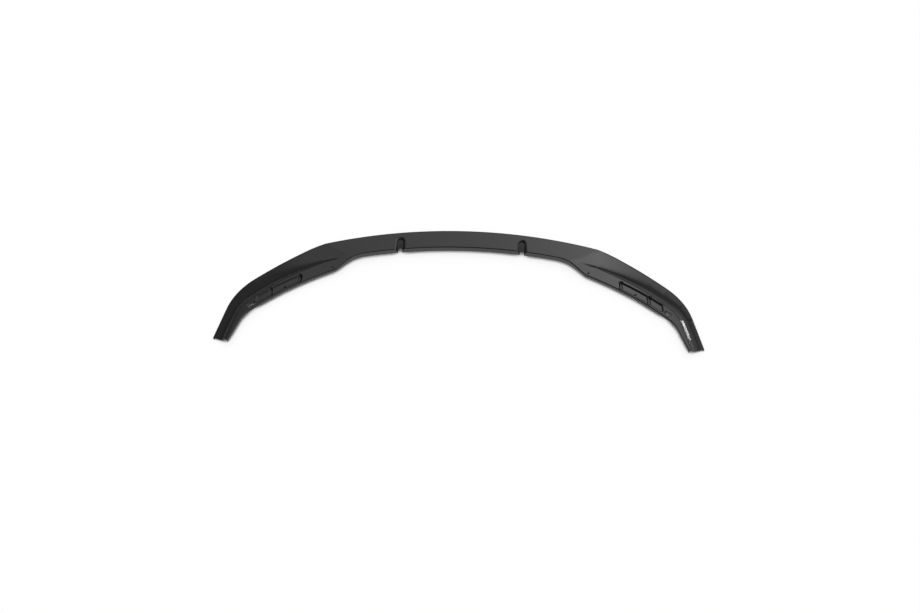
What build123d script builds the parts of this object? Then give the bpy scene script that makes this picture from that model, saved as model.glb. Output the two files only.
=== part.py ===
"""Front splitter lip: a one-piece carbon laminate shell, lying as it sits on the car.

X runs across the car, +Y points to the front of the car, +Z up, millimetres.
The origin is on the ground plane, under the middle of the part.
The nose bar spans the middle, a wing sweeps back from each end of it, and each
wing turns at a corner into a short leg. The outer edge has a skirt down to the
ground plane. The blade of each wing sweeps up to a raised flange on the inside,
which is screwed under the bumper.
"""
import math
import os
from build123d import *

# Laminate
WALL = 3.0

# How close the middle of a cut face lies to the middle of its seam
NEAR = 1.0

# Plan of the outer edge, from the middle of the nose to the tip of the leg
NOSE_RADIUS = 1603.0
NOSE_HALF_SPAN = 493.0
SHOULDER_RADIUS = 349.0
WING_HEADING = 29.6
WING_RADIUS = 870.0
CORNER_HEADING = 44.0
CORNER_RADIUS = 251.0
LEG_HEADING = 79.5
LEG_RUN = 126.5

# Plan of the inner edge, from the middle of the nose to the tip of the leg
NOSE_DEPTH = 83.0
NOSE_REAR_HALF_SPAN = 342.0
BEND_RADIUS = 121.0
CREASE_HEADING = 35.0
BEND_HEADING = 46.0
BEND_RUN = 55.0
FLANGE_HEADING = 25.2
FLANGE_RADIUS = 1031.0
ELBOW_HEADING = 43.9
ELBOW_RADIUS = 100.0
INNER_LEG_HEADING = 72.8
INNER_LEG_RUN = 95.5

# Levels above the ground plane
PANEL_LEVEL = 36.0
BLADE_LEVEL = 12.0
FLANGE_LEVEL = 26.0
HEM_LEVEL = 16.0

# Share of the wing's run over which the blade and the flange come down
BLADE_DROP_SHARE = 0.5
FLANGE_DROP_SHARE = 0.24

# Roundings of the section
EDGE_ROUND = 6.0
CREST_ROUND = 4.0
HEM_ROUND = 3.5

# Sweep of the blade up to the crest: its flat share, and its last pull per unit of rise
SWEEP_FLAT = 0.6
SWEEP_REACH = 0.5
SWEEP_CLIMB = 0.8

# Flange width behind the crest
NOSE_FLANGE = 12.0
CORNER_FLANGE = 56.0
WING_FLANGE = 45.0
ELBOW_FLANGE = 39.0
LEG_FLANGE = 26.0
TIP_FLANGE = 11.0

# Where sections go across: a share of the flange's run, and one of the outer corner's run
WING_END_SHARE = 0.82
ELBOW_SHARE = 0.5
STEPS_PER_STRETCH = 3

# Notches in the nose's rear edge, each a moulded recess with an open screw slot
NOTCH_SPACING = 440.0
NOTCH_LENGTH = 48.0
NOTCH_REAR_WIDTH = 24.0
NOTCH_FRONT_WIDTH = 13.0
NOTCH_DEPTH = 14.0
NOTCH_FRONT_DEPTH = 7.0
NOTCH_FLARE = 0.5
NOTCH_BEVEL_DEPTH = 2.0
NOTCH_BEVEL_WIDTH = 4.0
SLOT_WIDTH = 15.0
SLOT_LENGTH = 15.0

# Recesses across the flange, as (from, to, depth), by run along its inner edge
RECESSES = (
    (127.0, 132.0, 8.0),
    (134.0, 230.0, 5.0),
    (237.0, 243.0, 8.0),
    (245.0, 292.0, 5.0),
)
RECESS_NEAR = 12.0
RECESS_FAR = 32.0
RECESS_CORNER = 2.0
RECESS_DRAFT = 45.0

# Screw holes in the flange, as (run along its inner edge, distance in from it)
SCREW_HOLE = 7.0
SCREWS = (
    (8.0, 12.0),
    (189.0, 17.0),
)
OUTER_SLOT_RUN = 320.0
OUTER_SLOT_INSET = 17.0
OUTER_SLOT_LENGTH = 32.0
OUTER_SLOT_WIDTH = 14.0


class PlanPath:
    """A plan curve of arcs and straight runs, each turning towards the rear."""

    def __init__(self, start):
        self.point = start
        self.heading = 0.0
        self.length = 0.0
        self.runs = []
        self.marks = {}

    def add(self, run, turn):
        self.runs.append((self.length, run, self.point, self.heading, turn))
        self.point = self.along(self.length + run)
        self.length += run
        self.heading += turn

    def straight(self, run):
        self.add(run, 0.0)

    def arc(self, radius, heading):
        turn = heading - self.heading
        self.add(radius * math.radians(turn), turn)

    def kink(self, heading):
        self.heading = heading

    def mark(self, name):
        self.marks[name] = self.length

    def run_at(self, distance):
        found = self.runs[0]
        for run in self.runs:
            if run[0] <= distance:
                found = run
        return found

    def heading_at(self, distance):
        begin, run, _, heading, turn = self.run_at(distance)
        return heading + turn * (distance - begin) / run

    def along(self, distance):
        begin, run, start, heading, turn = self.run_at(distance)
        step = distance - begin
        first = math.radians(heading)
        if turn == 0.0:
            return (start[0] + step * math.cos(first), start[1] - step * math.sin(first))
        radius = run / math.radians(turn)
        last = first + step / radius
        across = radius * (math.sin(last) - math.sin(first))
        back = radius * (math.cos(first) - math.cos(last))
        return (start[0] + across, start[1] - back)


def nose_heading(half_span):
    return math.degrees(math.asin(half_span / NOSE_RADIUS))


def outer_path():
    path = PlanPath((0.0, 0.0))
    path.arc(NOSE_RADIUS, nose_heading(NOSE_HALF_SPAN))
    path.mark("crease")
    path.arc(SHOULDER_RADIUS, WING_HEADING)
    path.mark("wing")
    path.arc(WING_RADIUS, CORNER_HEADING)
    path.mark("corner")
    path.arc(CORNER_RADIUS, LEG_HEADING)
    path.mark("leg")
    path.straight(LEG_RUN)
    return path


def inner_path():
    path = PlanPath((0.0, -NOSE_DEPTH))
    path.arc(NOSE_RADIUS, nose_heading(NOSE_REAR_HALF_SPAN))
    path.mark("bend")
    path.arc(BEND_RADIUS, CREASE_HEADING)
    path.mark("crease")
    path.arc(BEND_RADIUS, BEND_HEADING)
    path.straight(BEND_RUN)
    path.mark("flange")
    path.kink(FLANGE_HEADING)
    path.arc(FLANGE_RADIUS, ELBOW_HEADING)
    path.mark("elbow")
    path.arc(ELBOW_RADIUS, INNER_LEG_HEADING)
    path.mark("leg")
    path.straight(INNER_LEG_RUN)
    return path


OUTER = outer_path()
INNER = inner_path()


def between(begin, end, share):
    """Values at a share of the way from one row of values to another."""
    return [first + share * (last - first) for first, last in zip(begin, end)]


def stations():
    """Outer run, inner run and flange width at each end of the wing's stretches."""
    nose_share = INNER.marks["bend"] / INNER.marks["crease"]
    flange_run = INNER.marks["elbow"] - INNER.marks["flange"]
    corner_run = OUTER.marks["leg"] - OUTER.marks["corner"]
    wing_end = INNER.marks["flange"] + WING_END_SHARE * flange_run
    elbow = OUTER.marks["corner"] + ELBOW_SHARE * corner_run
    return [
        (OUTER.marks["crease"] * nose_share, INNER.marks["bend"], NOSE_FLANGE),
        (OUTER.marks["crease"], INNER.marks["crease"], NOSE_FLANGE),
        (OUTER.marks["wing"], INNER.marks["flange"], CORNER_FLANGE),
        (OUTER.marks["corner"], wing_end, WING_FLANGE),
        (elbow, INNER.marks["elbow"], ELBOW_FLANGE),
        (OUTER.marks["leg"], INNER.marks["leg"], LEG_FLANGE),
        (OUTER.length, INNER.length, TIP_FLANGE),
    ]


def eased(start, end, share, full_share):
    """From start to end, quickest at first, level from full_share on."""
    left = max(0.0, 1.0 - share / full_share)
    return end + (start - end) * left * left


def wall_across(direction, heading):
    """Laminate thickness as the section plane cuts it."""
    tangent = (math.cos(math.radians(heading)), -math.sin(math.radians(heading)))
    return WALL / abs(direction[0] * tangent[1] - direction[1] * tangent[0])


def wing_share(outer_run):
    """How far along the wing a run is: 0 up to the crease, 1 at the tip."""
    crease = OUTER.marks["crease"]
    return max(0.0, (outer_run - crease) / (OUTER.length - crease))


def section(outer_run, inner_run, flange_width, side=1):
    """Closed wire of the laminate in the upright plane between the two edges."""
    share = wing_share(outer_run)
    outer = OUTER.along(outer_run)
    inner = INNER.along(inner_run)
    width = math.dist(outer, inner)
    direction = ((inner[0] - outer[0]) / width, (inner[1] - outer[1]) / width)
    skirt = wall_across(direction, OUTER.heading_at(outer_run))
    inside = width - wall_across(direction, INNER.heading_at(inner_run))
    blade = eased(PANEL_LEVEL, BLADE_LEVEL, share, BLADE_DROP_SHARE)
    flange = eased(PANEL_LEVEL, FLANGE_LEVEL, share, FLANGE_DROP_SHARE)
    rise = flange - blade
    crest = width - flange_width

    # The sweep up to the crest, and its lean there
    reach = CREST_ROUND + SWEEP_REACH * rise
    climb = SWEEP_CLIMB * rise
    lean = math.atan2(climb, reach)
    flat_end = EDGE_ROUND + SWEEP_FLAT * (crest - EDGE_ROUND)
    top_end = (crest - CREST_ROUND * math.cos(lean), flange - CREST_ROUND * math.sin(lean))
    top_pull = (top_end[0] - reach, top_end[1] - climb)

    # The same sweep seen from below, one laminate further in, with plain corners
    lowered = (WALL * math.sin(lean), -WALL * math.cos(lean))
    under_crest = (crest + WALL * math.tan(lean / 2), flange - WALL)
    under_pull = (top_pull[0] + lowered[0], top_pull[1] + lowered[1])
    under_blade = blade - WALL

    def placed(points):
        spots = []
        for across, level in points:
            x = outer[0] + across * direction[0]
            y = outer[1] + across * direction[1]
            spots.append(Vector(side * x, y, level))
        return spots

    def line(*points):
        return Edge.make_line(*placed(points))

    def curve(*points):
        return Edge.make_bezier(*placed(points))

    return Wire([
        line((0, 0), (0, blade - EDGE_ROUND)),
        curve((0, blade - EDGE_ROUND), (0, blade), (EDGE_ROUND, blade)),
        curve((EDGE_ROUND, blade), (flat_end, blade), top_pull, top_end),
        curve(top_end, (crest, flange), (crest + CREST_ROUND, flange)),
        line((crest + CREST_ROUND, flange), (width - HEM_ROUND, flange)),
        curve((width - HEM_ROUND, flange), (width, flange), (width, flange - HEM_ROUND)),
        line((width, flange - HEM_ROUND), (width, HEM_LEVEL)),
        line((width, HEM_LEVEL), (inside, HEM_LEVEL)),
        line((inside, HEM_LEVEL), (inside, flange - WALL)),
        line((inside, flange - WALL), under_crest),
        curve(under_crest, under_pull, (flat_end, under_blade), (skirt, under_blade)),
        line((skirt, under_blade), (skirt, 0)),
        line((skirt, 0), (0, 0)),
    ])


def joined(solids, seams):
    """One solid of several that meet at the seams, without their end faces there."""
    centres = [Face(seam).center() for seam in seams]
    skin = []
    for solid in solids:
        for face in solid.faces():
            if all((face.center() - centre).length > NEAR for centre in centres):
                skin.append(face)
    return Solid(Shell(skin))


def plain_nose():
    end = stations()[0]
    middle = (0.0, 0.0, NOSE_FLANGE)
    shares = [step / STEPS_PER_STRETCH for step in range(STEPS_PER_STRETCH + 1)]
    left = [section(*between(end, middle, share), side=-1) for share in shares[:-1]]
    right = [section(*between(middle, end, share)) for share in shares]
    return Solid.make_loft(left + right)


def plain_wing():
    ends = stations()
    shares = [step / STEPS_PER_STRETCH for step in range(STEPS_PER_STRETCH + 1)]
    stretches = []
    for begin, end in zip(ends, ends[1:]):
        stretches.append(Solid.make_loft([section(*between(begin, end, share)) for share in shares]))
    return joined(stretches, [section(*end) for end in ends[1:-1]])


def nose_rear(x):
    """Y of the nose's rear edge at x."""
    return -NOSE_DEPTH - NOSE_RADIUS + math.sqrt(NOSE_RADIUS ** 2 - x ** 2)


def notch_arch(level, grow, back):
    """Arched outline of a notch at a level, widened by grow, from back to its apex."""
    flare = NOTCH_FLARE * (level - PANEL_LEVEL + NOTCH_DEPTH) + grow
    rear = NOTCH_REAR_WIDTH / 2 + flare
    front = NOTCH_FRONT_WIDTH / 2 + flare
    apex = nose_rear(NOTCH_SPACING / 2) + NOTCH_LENGTH + flare
    shoulder = apex - front
    left, right = (-front, shoulder, level), (front, shoulder, level)
    return Wire([
        Edge.make_line((-rear, back, level), (rear, back, level)),
        Edge.make_line((rear, back, level), right),
        Edge.make_three_point_arc(right, (0, apex, level), left),
        Edge.make_line(left, (-rear, back, level)),
    ])


def below_notch(drop):
    """All that lies under a notch's floor, or under a plane at a drop below it."""
    rear = nose_rear(NOTCH_SPACING / 2)
    floor = PANEL_LEVEL - NOTCH_DEPTH - drop
    rise = NOTCH_DEPTH - NOTCH_FRONT_DEPTH
    behind, ahead = rear - NOTCH_LENGTH, rear + 2 * NOTCH_LENGTH
    ramp = Polygon((behind, -NOTCH_DEPTH), (ahead, -NOTCH_DEPTH), (ahead, floor + 2 * rise),
                   (behind, floor - rise), align=None)
    return extrude(Plane.YZ * ramp, NOTCH_LENGTH, both=True)


def notch_tools():
    """The laminate added under a notch, and the spaces cut out of it."""
    rear = nose_rear(NOTCH_SPACING / 2)
    floor = PANEL_LEVEL - NOTCH_DEPTH
    inside = rear + WALL / 2
    behind = rear - NOTCH_LENGTH
    added = Solid.make_loft([
        notch_arch(floor - WALL, WALL, inside),
        notch_arch(PANEL_LEVEL - WALL / 2, WALL, inside),
    ], ruled=True)
    space = Solid.make_loft([
        notch_arch(floor, 0.0, behind),
        notch_arch(PANEL_LEVEL + WALL, 0.0, behind),
    ], ruled=True)
    bevel = Solid.make_loft([
        notch_arch(PANEL_LEVEL - NOTCH_BEVEL_DEPTH, 0.0, behind),
        notch_arch(PANEL_LEVEL + NOTCH_BEVEL_DEPTH, 2 * NOTCH_BEVEL_WIDTH, behind),
    ], ruled=True)
    slot_centres = 2 * SLOT_LENGTH - SLOT_WIDTH
    slot = Pos(0, rear) * SlotCenterToCenter(slot_centres, SLOT_WIDTH, rotation=90)
    cuts = [space - below_notch(0.0), bevel, extrude(slot, PANEL_LEVEL)]
    return added - below_notch(WALL), cuts


def flange_point(run, inset):
    """Plan point on the flange: a run along its inner edge, and a distance in from it."""
    distance = INNER.marks["flange"] + run
    heading = math.radians(INNER.heading_at(distance))
    edge = INNER.along(distance)
    return (edge[0] + inset * math.sin(heading), edge[1] + inset * math.cos(heading))


def recess_plan(begin, end, growth=0.0):
    """Floor of a recess: a strip that follows the flange, cut off along the car."""
    centre = flange_point(0.0, -FLANGE_RADIUS)
    middle = (RECESS_NEAR + RECESS_FAR) / 2
    first = flange_point(begin, middle)[0] - growth
    last = flange_point(end, middle)[0] + growth
    far = Circle(FLANGE_RADIUS + RECESS_FAR + growth)
    strip = far - Circle(FLANGE_RADIUS + RECESS_NEAR - growth)
    band = Rectangle(last - first, FLANGE_RADIUS, align=(Align.MIN, Align.MIN))
    return (Pos(*centre) * strip) & (Pos(first, centre[1] + FLANGE_RADIUS / 2) * band)


def recess_tools(begin, end, depth):
    """The laminate added under a recess in the flange, and the space cut out of it."""
    floor = FLANGE_LEVEL - depth
    lean = math.radians(RECESS_DRAFT)
    growth = WALL * (1 - math.sin(lean)) / math.cos(lean)
    plan = recess_plan(begin, end)
    rounded = Pos(0, 0, floor) * fillet(plan.vertices(), RECESS_CORNER)
    space = extrude(rounded, depth + WALL, taper=-RECESS_DRAFT)
    rise = depth + WALL / 2
    bottom = Pos(0, 0, floor - WALL) * recess_plan(begin, end, growth)
    top = Pos(0, 0, floor - WALL + rise) * recess_plan(begin, end, growth + rise * math.tan(lean))
    added = Solid.make_loft([bottom.wire(), top.wire()], ruled=True)
    return added, space


def screw_spaces():
    spaces = []
    for run, inset in SCREWS:
        x, y = flange_point(run, inset)
        spaces.append(Pos(x, y, FLANGE_LEVEL) * Cylinder(SCREW_HOLE / 2, FLANGE_LEVEL))
    x, y = flange_point(OUTER_SLOT_RUN, OUTER_SLOT_INSET)
    heading = INNER.heading_at(INNER.marks["flange"] + OUTER_SLOT_RUN)
    slot = Pos(x, y) * SlotOverall(OUTER_SLOT_LENGTH, OUTER_SLOT_WIDTH, rotation=-heading)
    spaces.append(extrude(slot, 2 * FLANGE_LEVEL))
    return spaces


def nose():
    body = plain_nose()
    added, cuts = notch_tools()
    places = [Pos(side * NOTCH_SPACING / 2, 0, 0) for side in (-1, 1)]
    body = body.fuse(*[place * added for place in places])
    return body.cut(*[place * tool for place in places for tool in cuts])


def wing():
    added = []
    spaces = screw_spaces()
    for begin, end, depth in RECESSES:
        under, space = recess_tools(begin, end, depth)
        added.append(under)
        spaces.append(space)
    return plain_wing().fuse(*added).cut(*spaces)


def lip():
    """Nose and two wings, joined into one solid over the origin."""
    end = stations()[0]
    right = wing()
    left = right.mirror(Plane.YZ)
    whole = joined([nose(), right, left], [section(*end), section(*end, side=-1)])
    half_depth = -INNER.along(INNER.length)[1] / 2
    return Pos(0, half_depth, 0) * whole


os.makedirs("parts", exist_ok=True)
export_step(lip(), "parts/splitter_lip.step")
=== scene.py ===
"""Front splitter lip: looks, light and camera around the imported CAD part."""

import math

import bpy
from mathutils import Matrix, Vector

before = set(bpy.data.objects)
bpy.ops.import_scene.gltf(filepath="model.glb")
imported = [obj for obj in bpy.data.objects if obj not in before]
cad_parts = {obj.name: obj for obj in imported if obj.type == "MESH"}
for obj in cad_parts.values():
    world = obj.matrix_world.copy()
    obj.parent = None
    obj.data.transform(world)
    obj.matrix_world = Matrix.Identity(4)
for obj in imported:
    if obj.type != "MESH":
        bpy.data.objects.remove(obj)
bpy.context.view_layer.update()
scene = bpy.context.scene

MM = 0.001
WHITE = (1.0, 1.0, 1.0, 1.0)

# Cloth of the laminate: a 2/2 twill of near-black tows
TOW_WIDTH = 2.2 * MM
TWILL_SPAN = 4.0
WEAVE_HEIGHT = 0.15 * MM
WEAVE_STRENGTH = 0.35
WEFT_TONE = 0.0035
WARP_TONE = 0.0065
CLOTH_ROUGHNESS = 0.38
CLOTH_SPECULAR = 0.03

# Clear coat: how far it rounds the edges over, the slow waves in it, and its share on the underside
COAT_ROUND = 2.5 * MM
COAT_ROUND_SAMPLES = 8
COAT_ROUGHNESS = 0.05
COAT_IOR = 1.6
WAVE_LENGTH = 160.0 * MM
WAVE_HEIGHT = 0.25 * MM
WAVE_DETAIL = 1.0
UNDERSIDE_COAT = 0.15

# Limits on a face's normal that tell walls, side walls and the underside apart
WALL_RISE = 0.5
SIDE_WALL_TURN = 0.7
UNDERSIDE_RISE = -0.3

# Camera, fitted to the photograph
TARGET = Vector((0.0, 8.7, 15.0)) * MM
DISTANCE = 3570.0 * MM
ELEVATION = 50.0
YAW = 1.72
LENS = 39.7
SHIFT_X = 0.0003
SHIFT_Y = -0.0218

# Floor, and how much open sky it needs to show white
FLOOR_SIZE = 14.0
FLOOR_DROP = 0.3 * MM
FLOOR_TONE = (0.9, 0.9, 0.9, 1.0)
FLOOR_ROUGHNESS = 0.9
SHADOW_REACH = 60.0 * MM
SHADOW_FULL, SHADOW_GONE = 0.3, 0.55
SHADOW_LIFT = 0.8

# Painted pool of light on the floor, a white glow that only the gloss mirrors, and the floor's share of
# painted glow outside it
PAINTED_POOL_CENTRE = Vector((0.0, -0.5, 0.0))
PAINTED_POOL_INNER, PAINTED_POOL_OUTER = 0.72, 0.88
PAINTED_POOL_OUTSIDE = 0.4

# Light on matt surfaces: a dome that is brightest overhead
STUDIO_LIGHT = 1.1
DOME_FALL = 2.0

# Room as the gloss mirrors it
ROOM_LEVEL = 0.22
ROOM_RIGHT = 1.2
ROOM_UP = 0.5
ROOM_BEHIND = 0.4
BEHIND_UNTIL, AHEAD_FROM = -0.1, 0.35

# Overhead panel in front of the lip, measured across and up its own plane
PANEL_DISTANCE = 2.2
PANEL_LEFT, PANEL_RIGHT = -1.8, 1.5
PANEL_BOTTOM, PANEL_TOP = -1.2, 0.7
PANEL_EVEN = 0.58
PANEL_BRIGHT = 0.3
PANEL_CLIMB = 1.5
PANEL_CLIMB_END = 1.06

# Rims of the panel: their slants, then where each fade starts and ends and its share of light there
SIDE_SLANT = 0.55
TOP_SLANT = 0.25
RIGHT_FADE = (0.88, 1.3, 1.0, 0.12)
LEFT_FADE = (-1.26, -1.06, 0.35, 1.0)
TOP_FADE = (0.2, 0.34, 1.0, 0.4)
BOTTOM_FADE = (-1.1, -0.3, 0.35, 1.0)

# Small softbox low on the right
STRIP_PLACE = Vector((2.48, 1.67, 0.38))
STRIP_WIDTH = 0.3
STRIP_HEIGHT = 0.34
STRIP_POWER = 4.6


class Graph:
    """Adds nodes to one node tree and links them as they are made."""

    def __init__(self, tree):
        self.tree = tree

    def add(self, kind, *inputs, **settings):
        """A new node with its inputs fed in order; gives back its first output."""
        node = self.tree.nodes.new(kind)
        for name, value in settings.items():
            setattr(node, name, value)
        for socket, value in zip(node.inputs, inputs):
            self.feed(socket, value)
        return node.outputs[0]

    def feed(self, socket, value):
        """Links an output to the socket, or sets the socket to a constant."""
        if isinstance(value, bpy.types.NodeSocket):
            self.tree.links.new(value, socket)
        elif value is not None:
            socket.default_value = value

    def math(self, operation, *inputs):
        return self.add("ShaderNodeMath", *inputs, operation=operation)

    def mix(self, factor, first, second):
        """The first value where the factor is 0, the second where it is 1."""
        return self.add("ShaderNodeMix", factor, None, first, second)

    def split(self, vector):
        """The X, Y and Z of a vector."""
        node = self.tree.nodes.new("ShaderNodeSeparateXYZ")
        self.feed(node.inputs[0], vector)
        return node.outputs["X"], node.outputs["Y"], node.outputs["Z"]

    def remap(self, value, low, high, to_low, to_high):
        """The value carried from one range to another, and held at its ends."""
        node = self.tree.nodes.new("ShaderNodeMapRange")
        node.clamp = True
        for name, item in (
            ("Value", value),
            ("From Min", low),
            ("From Max", high),
            ("To Min", to_low),
            ("To Max", to_high),
        ):
            self.feed(node.inputs[name], item)
        return node.outputs[0]

    def bump(self, height, distance, strength, normal):
        """The normal, tilted by a height over the surface."""
        node = self.tree.nodes.new("ShaderNodeBump")
        node.inputs["Strength"].default_value = strength
        node.inputs["Distance"].default_value = distance
        self.feed(node.inputs["Height"], height)
        self.feed(node.inputs["Normal"], normal)
        return node.outputs["Normal"]


def new_group(name, inputs, outputs):
    """An empty shader node group, and its input and output nodes."""
    tree = bpy.data.node_groups.new(name, "ShaderNodeTree")
    for socket, kind in inputs:
        tree.interface.new_socket(socket, in_out="INPUT", socket_type=kind)
    for socket, kind in outputs:
        tree.interface.new_socket(socket, in_out="OUTPUT", socket_type=kind)
    return tree, tree.nodes.new("NodeGroupInput"), tree.nodes.new("NodeGroupOutput")


def twill_group():
    """Height and warp mask of a 2/2 twill on a plane, in tow widths."""
    tree, start, end = new_group(
        "twill",
        [("Across", "NodeSocketFloat"), ("Along", "NodeSocketFloat")],
        [("Height", "NodeSocketFloat"), ("Warp", "NodeSocketFloat")],
    )
    graph = Graph(tree)

    def crown(place):
        """Round top of a tow, over its width."""
        return graph.math("SINE", graph.math("MULTIPLY", graph.math("FRACT", place), math.pi))

    across, along = start.outputs["Across"], start.outputs["Along"]
    column = graph.math("FLOOR", across)
    row = graph.math("FLOOR", along)
    step = graph.math("FLOORED_MODULO", graph.math("ADD", column, row), TWILL_SPAN)
    warp = graph.math("LESS_THAN", step, TWILL_SPAN / 2)
    graph.feed(end.inputs["Height"], graph.mix(warp, crown(along), crown(across)))
    graph.feed(end.inputs["Warp"], warp)
    return tree


def laminate_material(twill):
    """Black twill under a gloss clear coat, satin on the underside."""
    material = bpy.data.materials.new("clear_coated_twill")
    material.use_nodes = True
    tree = material.node_tree
    graph = Graph(tree)
    shader = tree.nodes["Principled BSDF"]
    place = tree.nodes.new("ShaderNodeTexCoord").outputs["Object"]
    x, y, z = graph.split(place)
    facing = tree.nodes.new("ShaderNodeNewGeometry").outputs["True Normal"]
    turn, _, rise = graph.split(facing)

    # Flat faces carry the cloth in plan, upright faces carry it up the wall
    wall = graph.math("LESS_THAN", graph.math("ABSOLUTE", rise), WALL_RISE)
    sideways = graph.math("GREATER_THAN", graph.math("ABSOLUTE", turn), SIDE_WALL_TURN)
    side_wall = graph.math("MULTIPLY", sideways, wall)
    across = graph.mix(side_wall, x, y)
    along = graph.mix(wall, y, z)
    weave = tree.nodes.new("ShaderNodeGroup")
    weave.node_tree = twill
    graph.feed(weave.inputs["Across"], graph.math("DIVIDE", across, TOW_WIDTH))
    graph.feed(weave.inputs["Along"], graph.math("DIVIDE", along, TOW_WIDTH))
    tone = graph.mix(weave.outputs["Warp"], WEFT_TONE, WARP_TONE)
    shade = graph.add("ShaderNodeCombineColor", tone, tone, tone)

    # The coat rounds the edges over and swells in slow waves, the cloth keeps its own bumps
    edge = graph.add("ShaderNodeBevel", COAT_ROUND, samples=COAT_ROUND_SAMPLES)
    wave = tree.nodes.new("ShaderNodeTexNoise")
    graph.feed(wave.inputs["Vector"], place)
    wave.inputs["Scale"].default_value = 1.0 / WAVE_LENGTH
    wave.inputs["Detail"].default_value = WAVE_DETAIL
    coat_normal = graph.bump(wave.outputs[0], WAVE_HEIGHT, 1.0, edge)
    cloth_normal = graph.bump(weave.outputs["Height"], WEAVE_HEIGHT, WEAVE_STRENGTH, edge)
    underside = graph.math("LESS_THAN", rise, UNDERSIDE_RISE)
    coat = graph.mix(underside, 1.0, UNDERSIDE_COAT)

    graph.feed(shader.inputs["Base Color"], shade)
    graph.feed(shader.inputs["Normal"], cloth_normal)
    shader.inputs["Roughness"].default_value = CLOTH_ROUGHNESS
    shader.inputs["Specular IOR Level"].default_value = CLOTH_SPECULAR
    graph.feed(shader.inputs["Coat Weight"], coat)
    graph.feed(shader.inputs["Coat Normal"], coat_normal)
    shader.inputs["Coat Roughness"].default_value = COAT_ROUGHNESS
    shader.inputs["Coat IOR"].default_value = COAT_IOR
    return material


def floor_material():
    """Pale floor that shows white where it lies open, keeps its shadow under the lip, and carries a
    painted pool of light for the gloss.
    """
    material = bpy.data.materials.new("pale_floor")
    material.use_nodes = True
    tree = material.node_tree
    graph = Graph(tree)
    shader = tree.nodes["Principled BSDF"]
    shader.inputs["Base Color"].default_value = FLOOR_TONE
    shader.inputs["Roughness"].default_value = FLOOR_ROUGHNESS
    shader.inputs["Specular IOR Level"].default_value = 0.0

    # White to the camera everywhere; to the gloss, a painted pool of light that glows white inside and
    # dimmer outside
    path = tree.nodes.new("ShaderNodeLightPath")
    camera_ray = path.outputs["Is Camera Ray"]
    seen = graph.math("MAXIMUM", camera_ray, path.outputs["Is Glossy Ray"])
    away = tree.nodes.new("ShaderNodeVectorMath")
    away.operation = "DISTANCE"
    graph.feed(away.inputs[0], tree.nodes.new("ShaderNodeNewGeometry").outputs["Position"])
    away.inputs[1].default_value = PAINTED_POOL_CENTRE
    painted_pool = graph.remap(away.outputs["Value"], PAINTED_POOL_INNER, PAINTED_POOL_OUTER, 1.0, PAINTED_POOL_OUTSIDE)
    white = graph.add("ShaderNodeEmission", WHITE, graph.math("MAXIMUM", camera_ray, painted_pool))

    # Sheltered floor keeps its own shading
    shelter = tree.nodes.new("ShaderNodeAmbientOcclusion")
    shelter.inputs["Distance"].default_value = SHADOW_REACH
    lift = graph.remap(shelter.outputs["AO"], SHADOW_FULL, SHADOW_GONE, 0.0, SHADOW_LIFT)
    # Open floor takes the glow: plain white to the camera, the painted pool of light to the gloss
    share = graph.math("MULTIPLY", seen, lift)
    shown = graph.add("ShaderNodeMixShader", share, shader.outputs[0], white)
    graph.feed(tree.nodes["Material Output"].inputs["Surface"], shown)
    return material


def add_floor():
    """Wide floor, a hair below the skirt."""
    bpy.ops.mesh.primitive_plane_add(size=FLOOR_SIZE, location=(0.0, 0.0, -FLOOR_DROP))
    floor = bpy.context.object
    floor.name = "floor"
    floor.data.materials.append(floor_material())


def add_world():
    """White to the camera, a dome to matt surfaces, and a room that glows on the right to the gloss."""
    world = bpy.data.worlds.new("studio")
    scene.world = world
    world.use_nodes = True
    tree = world.node_tree
    graph = Graph(tree)
    back = tree.nodes["Background"]
    x, y, z = graph.split(tree.nodes.new("ShaderNodeTexCoord").outputs["Generated"])

    heading = graph.math("ARCTAN2", x, y)
    right = graph.math("MULTIPLY", graph.math("SINE", heading), ROOM_RIGHT)
    up = graph.math("MULTIPLY", z, ROOM_UP)
    glow = graph.math("EXPONENT", graph.math("ADD", right, up))
    ahead = graph.remap(y, BEHIND_UNTIL, AHEAD_FROM, ROOM_BEHIND, 1.0)
    room = graph.math("MULTIPLY", glow, graph.math("MULTIPLY", ahead, ROOM_LEVEL))

    # A level face gets STUDIO_LIGHT, however fast the dome falls off
    overhead = STUDIO_LIGHT * (DOME_FALL + 2.0) / 2.0
    dome = graph.math("MULTIPLY", graph.math("POWER", z, DOME_FALL), overhead)

    path = tree.nodes.new("ShaderNodeLightPath")
    unseen = graph.mix(path.outputs["Is Glossy Ray"], dome, room)
    shown = graph.mix(path.outputs["Is Camera Ray"], unseen, 1.0)
    graph.feed(back.inputs["Strength"], shown)
    back.inputs["Color"].default_value = WHITE


def panel_material():
    """Light that climbs to the right and dies away at the panel's rims."""
    material = bpy.data.materials.new("graded_panel")
    material.use_nodes = True
    tree = material.node_tree
    tree.nodes.remove(tree.nodes["Principled BSDF"])
    graph = Graph(tree)
    across, up, _ = graph.split(tree.nodes.new("ShaderNodeTexCoord").outputs["Object"])
    climb = graph.math("MULTIPLY", graph.math("MINIMUM", across, PANEL_CLIMB_END), PANEL_CLIMB)
    bright = graph.math("MULTIPLY", graph.math("EXPONENT", climb), PANEL_BRIGHT)
    strength = graph.math("ADD", bright, PANEL_EVEN)
    to_right = graph.math("MULTIPLY_ADD", up, -SIDE_SLANT, across)
    to_left = graph.math("MULTIPLY_ADD", up, SIDE_SLANT, across)
    to_top = graph.math("MULTIPLY_ADD", graph.math("ABSOLUTE", across), -TOP_SLANT, up)
    for place, fade in (
        (to_right, RIGHT_FADE),
        (to_left, LEFT_FADE),
        (to_top, TOP_FADE),
        (up, BOTTOM_FADE),
    ):
        strength = graph.math("MULTIPLY", strength, graph.remap(place, *fade))
    light = graph.add("ShaderNodeEmission", WHITE, strength)
    graph.feed(tree.nodes["Material Output"].inputs["Surface"], light)
    return material


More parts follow.
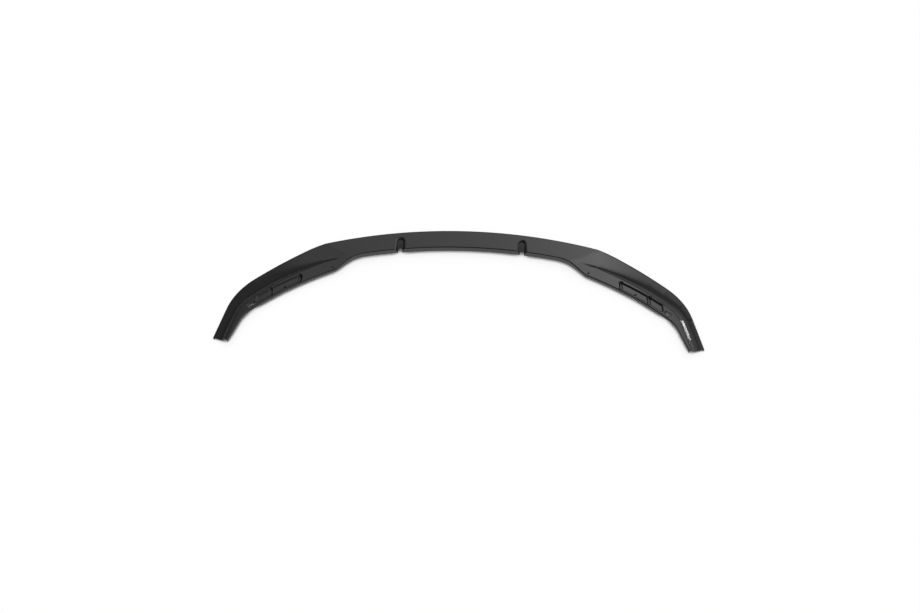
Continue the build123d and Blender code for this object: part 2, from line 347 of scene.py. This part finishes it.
def add_panel():
    """A panel that only the gloss sees, square to the mirrored line of sight."""
    corners = [
        (PANEL_LEFT, PANEL_BOTTOM, 0.0),
        (PANEL_RIGHT, PANEL_BOTTOM, 0.0),
        (PANEL_RIGHT, PANEL_TOP, 0.0),
        (PANEL_LEFT, PANEL_TOP, 0.0),
    ]
    mesh = bpy.data.meshes.new("overhead_panel")
    mesh.from_pydata(corners, [], [(0, 1, 2, 3)])
    mesh.materials.append(panel_material())
    panel = bpy.data.objects.new("overhead_panel", mesh)
    scene.collection.objects.link(panel)
    tilt = math.radians(ELEVATION)
    panel.location = TARGET + PANEL_DISTANCE * Vector((0.0, math.cos(tilt), math.sin(tilt)))
    panel.rotation_euler = (math.radians(90.0 + ELEVATION), 0.0, 0.0)
    panel.visible_camera = False
    panel.visible_diffuse = False
    panel.visible_shadow = False


def add_strip():
    """Softbox that only the gloss sees, for the gleam on the right leg."""
    light = bpy.data.lights.new("right_strip", "AREA")
    light.shape = "RECTANGLE"
    light.size = STRIP_WIDTH
    light.size_y = STRIP_HEIGHT
    light.energy = STRIP_POWER
    strip = bpy.data.objects.new("right_strip", light)
    scene.collection.objects.link(strip)
    strip.location = STRIP_PLACE
    strip.rotation_euler = (TARGET - STRIP_PLACE).to_track_quat("-Z", "Y").to_euler()
    strip.visible_camera = False
    strip.visible_diffuse = False


def add_camera():
    """The photograph's view, down on the lip from behind."""
    camera = bpy.data.objects.new("camera", bpy.data.cameras.new("camera"))
    scene.collection.objects.link(camera)
    tilt = math.radians(ELEVATION)
    turn = math.radians(YAW)
    back = Vector((
        math.sin(turn) * math.cos(tilt),
        -math.cos(turn) * math.cos(tilt),
        math.sin(tilt),
    ))
    camera.location = TARGET + DISTANCE * back
    camera.rotation_euler = back.to_track_quat("Z", "Y").to_euler()
    camera.data.lens = LENS
    camera.data.shift_x = SHIFT_X
    camera.data.shift_y = SHIFT_Y
    scene.camera = camera


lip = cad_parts["splitter_lip"]
lip.data.materials.clear()
lip.data.materials.append(laminate_material(twill_group()))
add_floor()
add_world()
add_panel()
add_strip()
add_camera()
scene.view_settings.view_transform = "Standard"
